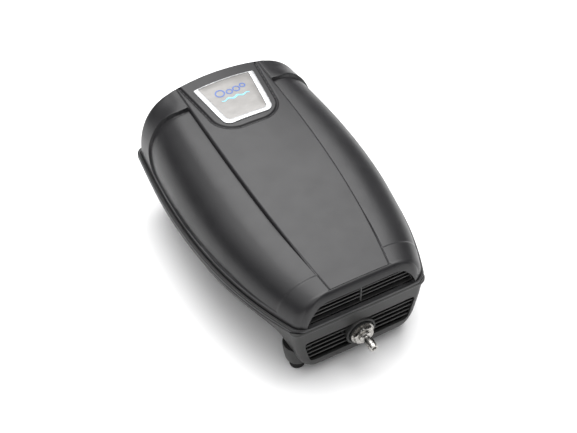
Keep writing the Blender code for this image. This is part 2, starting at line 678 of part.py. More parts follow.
def make_gland(paints):
    x, height = GLAND
    spot = (x, 0, height)
    body = [(0.0070, 0.2730), (0.0070, 0.2965), (0.0092, 0.2965), (0.0092, 0.3010), (0.0068, 0.3018)]
    body += [(0.0058, 0.3055), (0.0034, 0.3055), (0.0034, 0.2730)]
    turned("cable_gland", body, spot, (0, 1, 0), paints["rubber"], 16, True)
    nut = [(0.0086, 0.2735), (0.0110, 0.2735), (0.0110, 0.2775), (0.0086, 0.2775)]
    turned("gland_locknut", nut, spot, (0, 1, 0), paints["plastic"], 6, True)


def main():
    for thing in list(bpy.data.objects):
        bpy.data.objects.remove(thing)
    paints = {
        "shell": material("satin charcoal shell", (0.035, 0.035, 0.036), 0.42),
        "grille": material("black grille plastic", (0.012, 0.012, 0.013), 0.5),
        "plastic": material("dark grey plastic", (0.05, 0.05, 0.055), 0.5),
        "rubber": material("black rubber", (0.012, 0.012, 0.012), 0.75),
        "silver": material("silver badge frame", (0.8, 0.8, 0.8), 0.25, 0.6),
        "inlay": material("pale grey inlay", (0.55, 0.54, 0.52), 0.35),
        "nickel": material("nickel plating", (0.62, 0.60, 0.56), 0.25, 1.0),
        "steel": material("zinc plated steel", (0.5, 0.5, 0.5), 0.35, 1.0),
        "iron": material("lamination steel", (0.18, 0.18, 0.19), 0.45, 0.9),
        "copper": material("enamelled copper wire", (0.42, 0.14, 0.05), 0.35, 0.8),
        "magnet": material("ferrite magnet", (0.06, 0.06, 0.065), 0.4, 0.3),
        "lever": material("white lever plastic", (0.7, 0.7, 0.66), 0.45),
        "foam": material("filter foam", (0.10, 0.10, 0.11), 0.95),
    }
    make_hood(paints)
    make_upper_grille(paints)
    make_badge(paints)
    make_tub(paints)
    make_seal_and_feet(paints)
    make_outlet(paints)
    make_chassis(paints)
    make_filter_drawer(paints)
    make_gland(paints)
    for side, word in ((-1, "left"), (1, "right")):
        make_pump_side(side, word, paints)


main()
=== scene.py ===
import math

import bmesh
import bpy
import numpy as np
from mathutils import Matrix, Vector


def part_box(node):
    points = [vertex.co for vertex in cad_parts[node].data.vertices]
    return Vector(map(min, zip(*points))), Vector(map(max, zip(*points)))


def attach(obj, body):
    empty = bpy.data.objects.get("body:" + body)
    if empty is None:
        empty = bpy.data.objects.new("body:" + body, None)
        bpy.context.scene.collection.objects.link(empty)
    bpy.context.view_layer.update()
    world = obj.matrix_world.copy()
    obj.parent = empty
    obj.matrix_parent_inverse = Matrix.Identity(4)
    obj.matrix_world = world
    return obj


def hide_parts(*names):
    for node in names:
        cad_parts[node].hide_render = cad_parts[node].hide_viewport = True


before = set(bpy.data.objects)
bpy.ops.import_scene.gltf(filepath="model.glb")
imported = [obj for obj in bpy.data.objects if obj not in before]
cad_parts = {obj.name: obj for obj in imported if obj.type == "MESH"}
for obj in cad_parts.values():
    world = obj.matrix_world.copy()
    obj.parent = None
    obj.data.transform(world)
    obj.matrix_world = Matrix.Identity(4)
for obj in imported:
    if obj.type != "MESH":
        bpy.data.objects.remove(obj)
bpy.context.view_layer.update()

# A depth runs backwards from the rim's front edge. Sizes are in metres, but in millimetres inside mm().
hoodLow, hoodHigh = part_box("hood")
frontY = hoodLow.y
rimLength = hoodHigh.y - hoodLow.y
scene = bpy.context.scene


def smoothStep(value):
    value = np.clip(value, 0.0, 1.0)
    return value * value * (3 - 2 * value)


def mm(*rows):
    # rows of millimetres, as metres
    return [tuple(value / 1000 for value in row) for row in rows]


def evenCurve(values):
    # a smooth curve through values at even steps of 0 to 1
    return np.poly1d(np.polyfit(np.linspace(0, 1, len(values)), values, len(values) - 1))


def arcPoints(centre, radius, start, end, steps):
    turns = [math.radians(start + (end - start) * i / steps) for i in range(steps + 1)]
    return [(centre[0] + radius * math.cos(t), centre[1] + radius * math.sin(t)) for t in turns]


def roundedPath(corners, radii, steps=4, most=0.45, even=True):
    # a closed outline with each corner replaced by a short curve; most is the share of a side it may use
    path = []
    for k, corner in enumerate(corners):
        here = Vector(corner)
        before, after = Vector(corners[k - 1]) - here, Vector(corners[(k + 1) % len(corners)]) - here
        radius = radii[k] if isinstance(radii, (list, tuple)) else radii
        reachBefore, reachAfter = min(radius, before.length * most), min(radius, after.length * most)
        if even:
            reachBefore = reachAfter = min(reachBefore, reachAfter)
        start = here + before.normalized() * reachBefore
        stop = here + after.normalized() * reachAfter
        for i in range(steps + 1):
            t = i / steps
            path.append(tuple(start * (1 - t) ** 2 + here * 2 * t * (1 - t) + stop * t * t))
    return path


def placed(name, content):
    made = bpy.data.objects.new(name, content)
    scene.collection.objects.link(made)
    return made


def meshPiece(name, verts, faces, finish, sharp=35, close=False):
    mesh = bpy.data.meshes.new(name)
    mesh.from_pydata([tuple(map(float, v)) for v in verts], [], faces)
    work = bmesh.new()
    work.from_mesh(mesh)
    bmesh.ops.remove_doubles(work, verts=work.verts, dist=1e-7)
    if close:
        border = [edge for edge in work.edges if edge.is_boundary]
        bmesh.ops.triangle_fill(work, use_beauty=True, edges=border)
    bmesh.ops.recalc_face_normals(work, faces=work.faces)
    work.to_mesh(mesh)
    work.free()
    mesh.shade_smooth()
    mesh.set_sharp_from_angle(angle=math.radians(sharp))
    mesh.materials.append(finish)
    return placed(name, mesh)


def loft(loops, ring=False):
    count = len(loops[0])
    verts = [point for loop in loops for point in loop]
    faces = []
    for k in range(len(loops) if ring else len(loops) - 1):
        a, b = k * count, (k + 1) % len(loops) * count
        faces += [(a + i, a + (i + 1) % count, b + (i + 1) % count, b + i) for i in range(count)]
    if not ring:
        faces.append(tuple(range(count))[::-1])
        faces.append(tuple(range(len(verts) - count, len(verts))))
    return verts, faces


def turnedPiece(name, profile, centre, axis, finish, sides, ring=False):
    # the profile is radius and place along the axis
    tilt = Vector((0, 0, 1)).rotation_difference(Vector(axis)).to_matrix()
    origin = Vector((centre[0], frontY + centre[1], centre[2]))
    turns = [2 * math.pi * i / sides for i in range(sides)]
    loops = [[origin + tilt @ Vector((radius * math.cos(t), radius * math.sin(t), along)) for t in turns]
             for radius, along in profile]
    return meshPiece(name, *loft(loops, ring), finish)


def softenEdges(piece, width, segments=3, angle=30):
    bevel = piece.modifiers.new("edgeRounding", "BEVEL")
    bevel.width = width
    bevel.segments = segments
    bevel.limit_method = "ANGLE"
    bevel.angle_limit = math.radians(angle)
    return piece


def joinPieces(name, pieces):
    # several meshes in one object
    work = bmesh.new()
    for piece in pieces:
        work.from_mesh(piece.data)
    mesh = bpy.data.meshes.new(name)
    work.to_mesh(mesh)
    work.free()
    mesh.materials.append(pieces[0].data.materials[0])
    for piece in pieces:
        bpy.data.objects.remove(piece)
    return placed(name, mesh)


def carve(target, tools, operation, sharp):
    # one Boolean, applied at once so that no tool is left in the scene
    tool = joinPieces("carvingTool", tools)
    change = target.modifiers.new("carving", "BOOLEAN")
    change.operation = operation
    change.solver = "EXACT"
    change.object = tool
    bpy.context.view_layer.update()
    graph = bpy.context.evaluated_depsgraph_get()
    shaped = bpy.data.meshes.new_from_object(target.evaluated_get(graph))
    target.modifiers.clear()
    target.data = shaped
    shaped.shade_smooth()
    shaped.set_sharp_from_angle(angle=math.radians(sharp))
    bpy.data.objects.remove(tool)


def fit(piece, body, slot, *nodes):
    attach(piece, body)
    if nodes:
        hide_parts(*nodes)


def fitTurned(name, node, profile, centre, axis, sides, look, ring=False):
    fit(turnedPiece(name, profile, centre, axis, finishes[look[2]], sides, ring), *look[:2], node)


def newFinish(name):
    made = bpy.data.materials.new(name)
    made.use_nodes = True
    tree = made.node_tree
    place = tree.nodes.new("ShaderNodeTexCoord")
    return made, tree, tree.nodes["Principled BSDF"], place.outputs["Object"]


def setInputs(node, values):
    for name, value in values.items():
        node.inputs[name].default_value = value


def noiseOf(tree, where, scale, detail=3.0, stretch=None):
    if stretch:
        mapping = tree.nodes.new("ShaderNodeMapping")
        mapping.inputs["Scale"].default_value = stretch
        tree.links.new(where, mapping.inputs["Vector"])
        where = mapping.outputs["Vector"]
    noise = tree.nodes.new("ShaderNodeTexNoise")
    setInputs(noise, {"Scale": scale, "Detail": detail})
    tree.links.new(where, noise.inputs["Vector"])
    return noise.outputs["Fac"]


def tones(tree, source, dark, light, low=0.3, high=0.7):
    ramp = tree.nodes.new("ShaderNodeValToRGB")
    ramp.color_ramp.elements[0].position = low
    ramp.color_ramp.elements[0].color = (*dark, 1)
    ramp.color_ramp.elements[1].position = high
    ramp.color_ramp.elements[1].color = (*light, 1)
    tree.links.new(source, ramp.inputs["Fac"])
    return ramp.outputs["Color"]


def spread(tree, source, low, high):
    remap = tree.nodes.new("ShaderNodeMapRange")
    setInputs(remap, {"From Min": 0.3, "From Max": 0.7, "To Min": low, "To Max": high})
    tree.links.new(source, remap.inputs["Value"])
    return remap.outputs["Result"]


def bumpFrom(tree, shader, source, strength, distance):
    bump = tree.nodes.new("ShaderNodeBump")
    setInputs(bump, {"Strength": strength, "Distance": distance})
    tree.links.new(source, bump.inputs["Height"])
    tree.links.new(bump.outputs["Normal"], shader.inputs["Normal"])


def mouldedFinish(name, look):
    # cloudy tone, uneven gloss and a fine skin texture
    made, tree, shader, where = newFinish(name)
    stretch = look.get("stretch")
    tone = noiseOf(tree, where, look["cloud"], 4.0, stretch)
    tree.links.new(tones(tree, tone, look["dark"], look["light"]), shader.inputs["Base Color"])
    gloss = noiseOf(tree, where, look["gloss"], 5.0, stretch)
    tree.links.new(spread(tree, gloss, *look["roughness"]), shader.inputs["Roughness"])
    grain = noiseOf(tree, where, look["grain"], 2.0, stretch)
    bumpFrom(tree, shader, grain, look["strength"], look["bump"])
    setInputs(shader, {"Metallic": look.get("metallic", 0.0), "Coat Weight": look.get("coat", 0.0),
                       "Coat Roughness": 0.1, "Specular IOR Level": look.get("specular", 0.5)})
    return made


def bandedFinish(name, look):
    # fine parallel bands, for stacked laminations and wound wire
    made, tree, shader, where = newFinish(name)
    wave = tree.nodes.new("ShaderNodeTexWave")
    wave.bands_direction = look["direction"]
    setInputs(wave, {"Scale": look["bandScale"], "Distortion": look["unevenness"], "Detail Scale": 2.0})
    tree.links.new(where, wave.inputs["Vector"])
    tone = tones(tree, wave.outputs["Fac"], look["dark"], look["light"], 0.1, 0.8)
    tree.links.new(tone, shader.inputs["Base Color"])
    tree.links.new(spread(tree, noiseOf(tree, where, 300), *look["roughness"]), shader.inputs["Roughness"])
    bumpFrom(tree, shader, wave.outputs["Fac"], 0.6, look["bandHeight"])
    shader.inputs["Metallic"].default_value = look["metallic"]
    return made


def foamFinish(name, dark, light):
    made, tree, shader, where = newFinish(name)
    cells = tree.nodes.new("ShaderNodeTexVoronoi")
    cells.inputs["Scale"].default_value = 700
    tree.links.new(where, cells.inputs["Vector"])
    tone = tones(tree, cells.outputs["Distance"], light, dark, 0.1, 0.7)
    tree.links.new(tone, shader.inputs["Base Color"])
    bumpFrom(tree, shader, cells.outputs["Distance"], 1.0, 0.0008)
    setInputs(shader, {"Roughness": 0.95, "Sheen Weight": 0.2})
    return made


finishLooks = {
    "shell": dict(dark=(0.015, 0.0147, 0.0157), light=(0.019, 0.0186, 0.0198), cloud=14,
        roughness=(0.34, 0.41), gloss=55, grain=2600, strength=0.22, bump=0.00012,
        specular=0.38),
    "tubShell": dict(dark=(0.016, 0.016, 0.0154), light=(0.0205, 0.0205, 0.0196), cloud=14,
        roughness=(0.4, 0.48), gloss=55, grain=2200, strength=0.28, bump=0.00014,
        specular=0.4),
    "grille": dict(dark=(0.018, 0.018, 0.018), light=(0.025, 0.025, 0.0245), cloud=40,
        roughness=(0.45, 0.55), gloss=90, grain=2400, strength=0.25, bump=0.0001),
    "darkPlastic": dict(dark=(0.04, 0.041, 0.044), light=(0.055, 0.056, 0.06), cloud=30,
        roughness=(0.42, 0.55), gloss=70, grain=2000, strength=0.25, bump=0.00012),
    "rubber": dict(dark=(0.009, 0.009, 0.009), light=(0.017, 0.017, 0.016), cloud=60,
        roughness=(0.62, 0.82), gloss=160, grain=1500, strength=0.4, bump=0.00015,
        specular=0.35),
    "silver": dict(dark=(0.54, 0.55, 0.56), light=(0.66, 0.67, 0.68), cloud=60, roughness=(0.2, 0.32),
        gloss=120, grain=900, strength=0.12, bump=0.00006, metallic=0.35, coat=0.4),
    "inlay": dict(dark=(0.2, 0.193, 0.186), light=(0.245, 0.237, 0.228), cloud=60,
        roughness=(0.3, 0.42), gloss=90, grain=500, strength=0.08, bump=0.00003,
        metallic=0.1, coat=0.15, stretch=(1, 2, 1)),
    "nickel": dict(dark=(0.36, 0.35, 0.33), light=(0.52, 0.505, 0.48), cloud=240,
        roughness=(0.2, 0.34), gloss=420, grain=1400, strength=0.15, bump=0.00006,
        metallic=1.0),
    "zinc": dict(dark=(0.42, 0.43, 0.44), light=(0.58, 0.585, 0.59), cloud=90, roughness=(0.28, 0.45),
        gloss=180, grain=1100, strength=0.2, bump=0.00008, metallic=1.0),
    "ferrite": dict(dark=(0.045, 0.045, 0.05), light=(0.075, 0.075, 0.08), cloud=200,
        roughness=(0.35, 0.5), gloss=260, grain=1300, strength=0.3, bump=0.0001,
        metallic=0.3),
    "lever": dict(dark=(0.6, 0.6, 0.56), light=(0.7, 0.7, 0.66), cloud=70, roughness=(0.38, 0.5),
        gloss=130, grain=1600, strength=0.2, bump=0.0001),
    "emblemBlue": dict(dark=(0.045, 0.095, 0.3), light=(0.06, 0.12, 0.36), cloud=300,
        roughness=(0.25, 0.35), gloss=300, grain=1500, strength=0.1, bump=0.00003),
    "emblemCyan": dict(dark=(0.16, 0.52, 0.72), light=(0.22, 0.6, 0.78), cloud=300,
        roughness=(0.25, 0.35), gloss=300, grain=1500, strength=0.1, bump=0.00003),
    "floor": dict(dark=(0.9, 0.9, 0.9), light=(0.94, 0.94, 0.94), cloud=3, roughness=(0.55, 0.7),
        gloss=6, grain=200, strength=0.02, bump=0.0001, specular=0.2),
}
finishes = {name: mouldedFinish(name + "Finish", look) for name, look in finishLooks.items()}
finishes["laminations"] = bandedFinish("laminationFinish", dict(
    direction="Z", bandScale=320, unevenness=0.4, dark=(0.1, 0.1, 0.11), light=(0.26, 0.26, 0.27),
    roughness=(0.35, 0.5), bandHeight=0.0002, metallic=0.9))
finishes["copper"] = bandedFinish("copperWireFinish", dict(
    direction="Y", bandScale=420, unevenness=0.6, dark=(0.22, 0.06, 0.02), light=(0.5, 0.18, 0.07),
    roughness=(0.22, 0.35), bandHeight=0.0003, metallic=0.8))
finishes["foam"] = foamFinish("filterFoamFinish", (0.02, 0.02, 0.022), (0.13, 0.13, 0.14))
print("finishes ready")


# the hood: its outline, its rounded shoulders and the sunken side panels
hood = dict(
    rimHalfWidths=(0.0696, 0.0965, 0.1063, 0.105, 0.0974),
    panelHalfWidths=(0.0318, 0.0415, 0.0462, 0.0475, 0.047),
    panelHeights=(0.1099, 0.1233, 0.1324, 0.1379, 0.1406),
    panelCrown=(0.0006, 0.0034),
    panelFront=0.008, panelRear=0.297,
    wallInsets=(0.0038, 0.0008, 0.0042),
    cornerFront=0.0085, cornerRear=0.0065, cornerDrop=0.0025,
    frontBow=0.1, rearBow=1.0,
    rollPower=2.35,
    beadTop=0.0768,
    recessFront=0.0245, recessRear=0.2745, recessDepth=0.0043,
    recessLow=0.0832, recessCorner=0.026, recessLean=0.0075,
    recessEdge=0.0013, recessRearStep=0.0019, recessFrontStep=0.003, recessFrontFade=0.075,
    seamDepth=0.0006, seamWidth=0.0006,
    wall=0.0028,
)
rimCurve = evenCurve(hood["rimHalfWidths"])
panelWidthCurve = evenCurve(hood["panelHalfWidths"])
panelHeightCurve = evenCurve(hood["panelHeights"])
# the bead round the rim, as inset and height, from its underside up to the foot of the wall
beadLines = mm((0.4, 73.4), (0, 73.9), (0, 75.6), (0.3, 76.3), (0.9, 76.7), (1.8, 76.8), (2.4, 76.6),
               (2.7, 76), (3, 75.6), (3.3, 75.7))


def rimHalf(depth):
    return rimCurve(np.clip(depth / rimLength, 0, 1))


def panelShare(depth):
    return np.clip((depth - hood["panelFront"]) / (hood["panelRear"] - hood["panelFront"]), 0, 1)


def panelHalf(depth):
    return panelWidthCurve(panelShare(depth))


def panelHeight(depth, across=1.0):
    share = panelShare(depth)
    crown = hood["panelCrown"][0] + (hood["panelCrown"][1] - hood["panelCrown"][0]) * share
    return panelHeightCurve(share) + crown * (1 - across * across)


def rollUp(share):
    power = hood["rollPower"]
    return (1 - (1 - share) ** power) ** (1 / power)


def bowed(x, depth):
    rear = hood["rearBow"] * x * x * smoothStep((depth - 0.6 * rimLength) / (0.4 * rimLength))
    front = hood["frontBow"] * x * x * smoothStep(1 - depth / (0.3 * rimLength))
    return depth + front - rear


def shoulderShares(count):
    # even steps round the shoulder, with extra lines where the side panel meets the centre panel
    power = 2 / hood["rollPower"]
    turns = np.linspace(0, math.pi / 2, count)
    shares = list(1 - np.cos(turns) ** power)
    shares += [0.955, 0.962, 0.968, 0.973, 0.977, 0.981, 0.984, 0.987, 0.99, 0.993, 0.9965]
    # and just above the wall's foot, along the side panel's lower edge
    rises = np.arange(0.08, 0.36, 0.013)
    shares += list(1 - (1 - rises ** hood["rollPower"]) ** (1 / hood["rollPower"]))
    return sorted(set(round(float(s), 6) for s in shares))


def hoodSkin(shares, bead, middle, across, inner):
    # rings of points run round the rim and close in on the centre panel
    wall = hood["wall"] if inner else 0.0
    sideInset, frontInset, rearInset = (inset + wall for inset in hood["wallInsets"])
    lines = len(bead) + len(shares) - 1
    lineShare = np.array([0.0] * len(bead) + list(shares))
    beadInset = np.array([line[0] for line in bead])
    beadHeight = np.array([line[1] for line in bead])
    rows = 2 * lines + len(middle) + 1
    columns = 2 * lines + across

    def insetLine(k, outer, target):
        k = np.asarray(k)
        onBead = beadInset[np.minimum(k, len(bead) - 1)] * (outer / sideInset)
        return np.where(k < len(bead), onBead, outer + lineShare[k] * (target - outer))

    rowIndex = np.arange(rows + 1)
    rowLine = np.minimum(np.minimum(rowIndex, rows - rowIndex), lines)
    nearFront = rowIndex <= rows // 2
    depth = np.empty(rows + 1)
    frontTarget, rearTarget = hood["panelFront"] + wall, rimLength - hood["panelRear"] + wall
    depth[nearFront] = insetLine(rowLine, frontInset, frontTarget)[nearFront]
    depth[~nearFront] = rimLength - insetLine(rowLine, rearInset, rearTarget)[~nearFront]
    depth[lines + 1: lines + 1 + len(middle)] = middle
    colIndex = np.arange(columns + 1)
    colLine = np.minimum(np.minimum(colIndex, columns - colIndex), lines)
    sign = np.where(2 * colIndex < columns, -1.0, 1.0)
    crossing = np.where(colLine < lines, 1.0, np.abs(2 * (colIndex - lines) / across - 1))

    depths = np.repeat(depth[:, None], columns + 1, 1)
    lineOf = np.repeat(colLine[None], rows + 1, 0)
    crossings = np.repeat(crossing[None], rows + 1, 0)
    ring = np.minimum(lineOf, rowLine[:, None])

    def sideX(k, d):
        width = rimHalf(d)
        return width - insetLine(k, sideInset, width - panelHalf(d))

    inPanel = (colIndex > lines) & (colIndex < columns - lines)
    xs = sideX(lineOf, depths)
    xs[:, inPanel] = (crossings * panelHalf(depths))[:, inPanel]
    share = lineShare[ring]
    front = np.repeat(nearFront[:, None], columns + 1, 1)
    fading = np.where(ring < len(bead), 1.0, 1 - share)
    corner = np.where(front, hood["cornerFront"], hood["cornerRear"]) * fading - 0.5 * wall
    corner = np.maximum(corner, 0.0005)
    start = insetLine(ring, frontInset, frontTarget)
    stop = rimLength - insetLine(ring, rearInset, rearTarget)
    pastX = xs - (sideX(ring, depths) - corner)
    pastD = np.where(front, start + corner - depths, depths - (stop - corner))
    bend = (pastX > 0) & (pastD > 0) & (ring < lines)
    pull = np.where(bend, np.maximum(pastX, pastD) / np.maximum(np.hypot(pastX, pastD), 1e-9), 1.0)
    xs = xs + np.where(bend, pastX * (pull - 1), 0)
    depths = depths + np.where(bend, pastD * (pull - 1), 0) * np.where(front, -1, 1)

    top = panelHeight(depths, crossings)
    if inner:
        top = top - wall - hood["recessDepth"] * smoothStep((depths - 0.024) / 0.07)
    zs = hood["beadTop"] + (top - hood["beadTop"]) * rollUp(share)
    towardCorner = smoothStep((np.abs(xs) - 0.045) / 0.014) * smoothStep((depths - 0.262) / 0.028)
    zs = zs - hood["cornerDrop"] * towardCorner * 4 * share * (1 - share)
    if not inner:
        zs = zs - 0.0008 * (1 - smoothStep(share / 0.006))
    zs = np.where(ring < len(bead), beadHeight[np.minimum(ring, len(bead) - 1)], zs)
    ys = frontY + bowed(xs, depths)
    return sign[None] * xs, ys, zs, depths, share, ring, lineOf, lines


def gridNormals(xs, ys, zs):
    points = np.stack([xs, ys, zs], -1)
    across = np.gradient(points, axis=1)
    along = np.gradient(points, axis=0)
    normals = np.cross(across, along)
    return normals / np.maximum(np.linalg.norm(normals, axis=-1, keepdims=True), 1e-12)


badge = dict(front=0.221, rear=0.2825, topHalf=0.0345, bottomHalf=0.0272, corner=0.009, border=0.0052,
             bezel=0.0078, rise=0.0003, grooveDepth=0.0015, grooveWidth=0.0012,
             seat=0.00042, top=0.0015, edge=0.0004, inlaySink=0.0006)


def badgeDistance(x, depth):
    # how far a place on the panel is outside the badge's outline, negative inside it
    share = (depth - badge["front"]) / (badge["rear"] - badge["front"])
    half = badge["bottomHalf"] + (badge["topHalf"] - badge["bottomHalf"]) * share
    radius = badge["corner"] + 0.006
    sideways = np.abs(x) - half + radius
    ahead = badge["front"] - depth + radius
    both = np.hypot(np.maximum(sideways, 0), np.maximum(ahead, 0))
    return both + np.minimum(np.maximum(sideways, ahead), 0) - radius


def hoodRelief(xs, zs, depths, share, ring, lineOf, lines, beadCount):
    # how far the outside of the hood lies under its full shape, measured along the surface's normal
    x = np.abs(xs)
    spreadWidth = rimHalf(depths) - hood["wallInsets"][0] - panelHalf(depths)
    onSide = (ring == lineOf) & (ring >= beadCount) & (lineOf < lines)
    fromEdge = (1 - share) * spreadWidth
    fromRear = hood["recessRear"] - hood["recessLean"] * smoothStep((share - 0.3) / 0.6) - depths
    fromFront = depths - hood["recessFront"]
    fromLow = zs - hood["recessLow"]
    # the lower rear corner of the recess is a wide curve
    cut = hood["recessCorner"]
    a, b = np.maximum(cut - fromRear, 0), np.maximum(cut - fromLow, 0)
    inside = np.where((a > 0) & (b > 0), cut - np.hypot(a, b), np.minimum(fromRear, fromLow))
    edgeStep = smoothStep(fromEdge / hood["recessEdge"])
    rearStep = smoothStep(inside / hood["recessRearStep"])
    frontStep = (0.22 * smoothStep(fromFront / hood["recessFrontStep"])
                 + 0.78 * smoothStep(fromFront / hood["recessFrontFade"]))
    lowShare = 0.5 + 0.5 * smoothStep(share / 0.5)
    sunk = hood["recessDepth"] * edgeStep * rearStep * frontStep * lowShare
    sunk = np.where(onSide, sunk, 0.0)
    # a thin seam along both edges of the centre panel
    edge = np.abs(x - panelHalf(depths)) * ((ring >= lines) | onSide)
    alongPanel = ring >= lines - 12
    seam = hood["seamDepth"] * np.exp(-(edge / hood["seamWidth"]) ** 2) * alongPanel
    # groove round the badge's bezel, open to the rear edge
    away = badgeDistance(x, depths) - badge["bezel"]
    groove = badge["grooveDepth"] * np.exp(-(away / badge["grooveWidth"]) ** 2) * (ring >= lines)
    plateau = -badge["rise"] * (1 - smoothStep((away + 0.002) / 0.0015)) * (ring >= lines)
    return sunk + seam + groove + plateau


def skinFaces(rows, columns, start, flip):
    faces = []
    for j in range(rows - 1):
        for i in range(columns - 1):
            a = start + j * columns + i
            quad = (a, a + 1, a + columns + 1, a + columns)
            faces.append(quad[::-1] if flip else quad)
    return faces


mouth = dict(bottom=0.0774, top=0.1, half=0.0583, topHalf=0.044,
             shoulderIn=0.0042, shoulderUp=0.0115, rounds=(0.003, 0.01, 0.009),
             throat=((-0.006, 0.0022), (0.003, 0.0006), (0.0052, 0.0), (0.018, 0.0)))  # depth and growth


def mouthPath(grow=0.0):
    half, topHalf = mouth["half"] + grow, mouth["topHalf"] + 0.6 * grow
    bottom, top = mouth["bottom"] - grow, mouth["top"] + grow
    shoulder = (half - mouth["shoulderIn"], bottom + mouth["shoulderUp"])
    corners = [(half, bottom), shoulder, (topHalf, top),
               (-topHalf, top), (-shoulder[0], shoulder[1]), (-half, bottom)]
    low, shoulderRound, high = mouth["rounds"]
    radii = [low, shoulderRound, high, high, shoulderRound, low]
    return roundedPath(corners, radii, 6, 0.48, even=False)


def mouthLoops(stages):
    return [[(x, frontY + depth, z) for x, z in mouthPath(grow)] for depth, grow in stages]


def makeHood():
    front, rear = hood["recessFront"], hood["recessRear"]
    middle = np.unique(np.round(np.concatenate([
        np.linspace(0.0092, 0.206, 160),
        np.linspace(0.2066, 0.2958, 152),
        np.linspace(front - 0.002, front + 0.006, 12),
        np.linspace(rear - 0.006, rear + 0.002, 14)]), 6))
    shares = shoulderShares(46)
    xs, ys, zs, depths, share, ring, lineOf, lines = hoodSkin(shares, beadLines, middle, 124, False)
    relief = hoodRelief(xs, zs, depths, share, ring, lineOf, lines, len(beadLines))
    normals = gridNormals(xs, ys, zs)
    outer = np.stack([xs, ys, zs], -1) - normals * relief[..., None]
    innerShares = [0, 0.02, 0.05, 0.1, 0.2, 0.35, 0.55, 0.78, 1.0]
    innerInset = hood["wallInsets"][0] + hood["wall"]
    innerBead = [(innerInset, 0.0734), (innerInset, 0.0755)]
    coarse = np.linspace(0.014, 0.288, 24)
    innerX, innerY, innerZ, *_ = hoodSkin(innerShares, innerBead, coarse, 12, True)
    inner = np.stack([innerX, innerY, innerZ], -1)
    verts = list(outer.reshape(-1, 3)) + list(inner.reshape(-1, 3))
    faces = skinFaces(*xs.shape, 0, False) + skinFaces(*innerX.shape, xs.size, True)
    shell = meshPiece("hoodShell", verts, faces, finishes["shell"], close=True)
    opening = meshPiece("mouthTool", *loft(mouthLoops(mouth["throat"])), finishes["shell"])
    carve(shell, [opening], "DIFFERENCE", 40)
    fit(shell, "cover", "satin_charcoal_plastic", "hood")


upperGrille = dict(front=0.0044, back=0.008, slats=(0.0856, 0.0906, 0.0956), slatHeight=0.0017,
                   slatDepths=(0.0048, 0.007), slatTuck=0.0004, gap=0.0005,
                   frameWidth=0.001, barWidth=0.0015)


def makeUpperGrille():
    gap = -upperGrille["gap"]
    inset = gap - upperGrille["frameWidth"]
    front, back = upperGrille["front"], upperGrille["back"]
    frameLoops = mouthLoops([(front, gap), (back, gap), (back, inset), (front, inset)])
    pieces = [meshPiece("frameRing", *loft(frameLoops, ring=True), finishes["grille"])]
    for height in upperGrille["slats"]:
        reach = slatReach(height, inset) + upperGrille["slatTuck"]
        span = (-reach, reach)
        pieces.append(slatBar("slat", span, height, upperGrille["slatHeight"], *upperGrille["slatDepths"]))
    half = upperGrille["barWidth"] / 2
    bottom, top = mouth["bottom"] + 0.001, mouth["top"] - 0.001
    nose = front - 0.0002
    outline = ((-half, nose), (half, nose), (half, back), (-half, back))
    post = [[(x, frontY + d, z) for x, d in outline] for z in (bottom, top)]
    pieces.append(meshPiece("post", *loft(post), finishes["grille"]))
    grille = joinPieces("upperGrilleSlats", pieces)
    softenEdges(grille, 0.0003, 2)
    fit(grille, "cover", "black_plastic", "upper_grille")


def slatReach(height, grow):
    # half the mouth's width at a height
    path = [(x, z) for x, z in mouthPath(grow) if x > 0]
    path.sort(key=lambda p: p[1])
    return float(np.interp(height, [p[1] for p in path], [p[0] for p in path]))


def slatBar(name, span, height, thickness, front, back):
    # a blade with a rounded nose and a top that falls away, so that the gap above stays open
    half = thickness / 2
    nose = front + 0.0003
    section = [(nose, height - half), (front, height - 0.6 * half), (front, height + 0.6 * half),
               (nose, height + half), (back, height - 0.1 * half), (back, height - half)]
    loops = [[(x, frontY + d, z) for d, z in section] for x in span]
    return meshPiece(name, *loft(loops), finishes["grille"])


def badgeOutline(shrink):
    # the right half, from the rear middle to the front middle, and its mirror image
    front, rear = badge["front"] + shrink, badge["rear"] - min(shrink, 0.0012)
    topHalf, bottomHalf = badge["topHalf"] - shrink, badge["bottomHalf"] - shrink
    corner = max(badge["corner"] - 0.7 * shrink, 0.003)
    half = [(topHalf * s, rear) for s in (0.0, 0.2, 0.4, 0.6, 0.8, 0.97)]
    narrowing = bottomHalf - topHalf
    half += [(topHalf + narrowing * s, rear + (front - rear) * s) for s in (0.02, 0.2, 0.4, 0.6, 0.75)]
    half += arcPoints((bottomHalf - corner + 0.0006, front + corner), corner, 0, -90, 10)
    half += [(half[-1][0] * s, front) for s in (0.75, 0.5, 0.25)]
    return half + [(0, half[-1][1])] + [(-x, d) for x, d in half[:0:-1]]


def onPanel(x, depth, lift):
    across = x / panelHalf(depth)
    return x, frontY + bowed(x, depth), float(panelHeight(depth, across)) + lift


def badgeLoop(shrink, lift):
    return [onPanel(x, d, lift) for x, d in badgeOutline(shrink)]


def scaledBadge(shrink, share, lift):
    centre = 0.5 * (badge["front"] + badge["rear"])
    return [onPanel(share * x, centre + share * (d - centre), lift) for x, d in badgeOutline(shrink)]


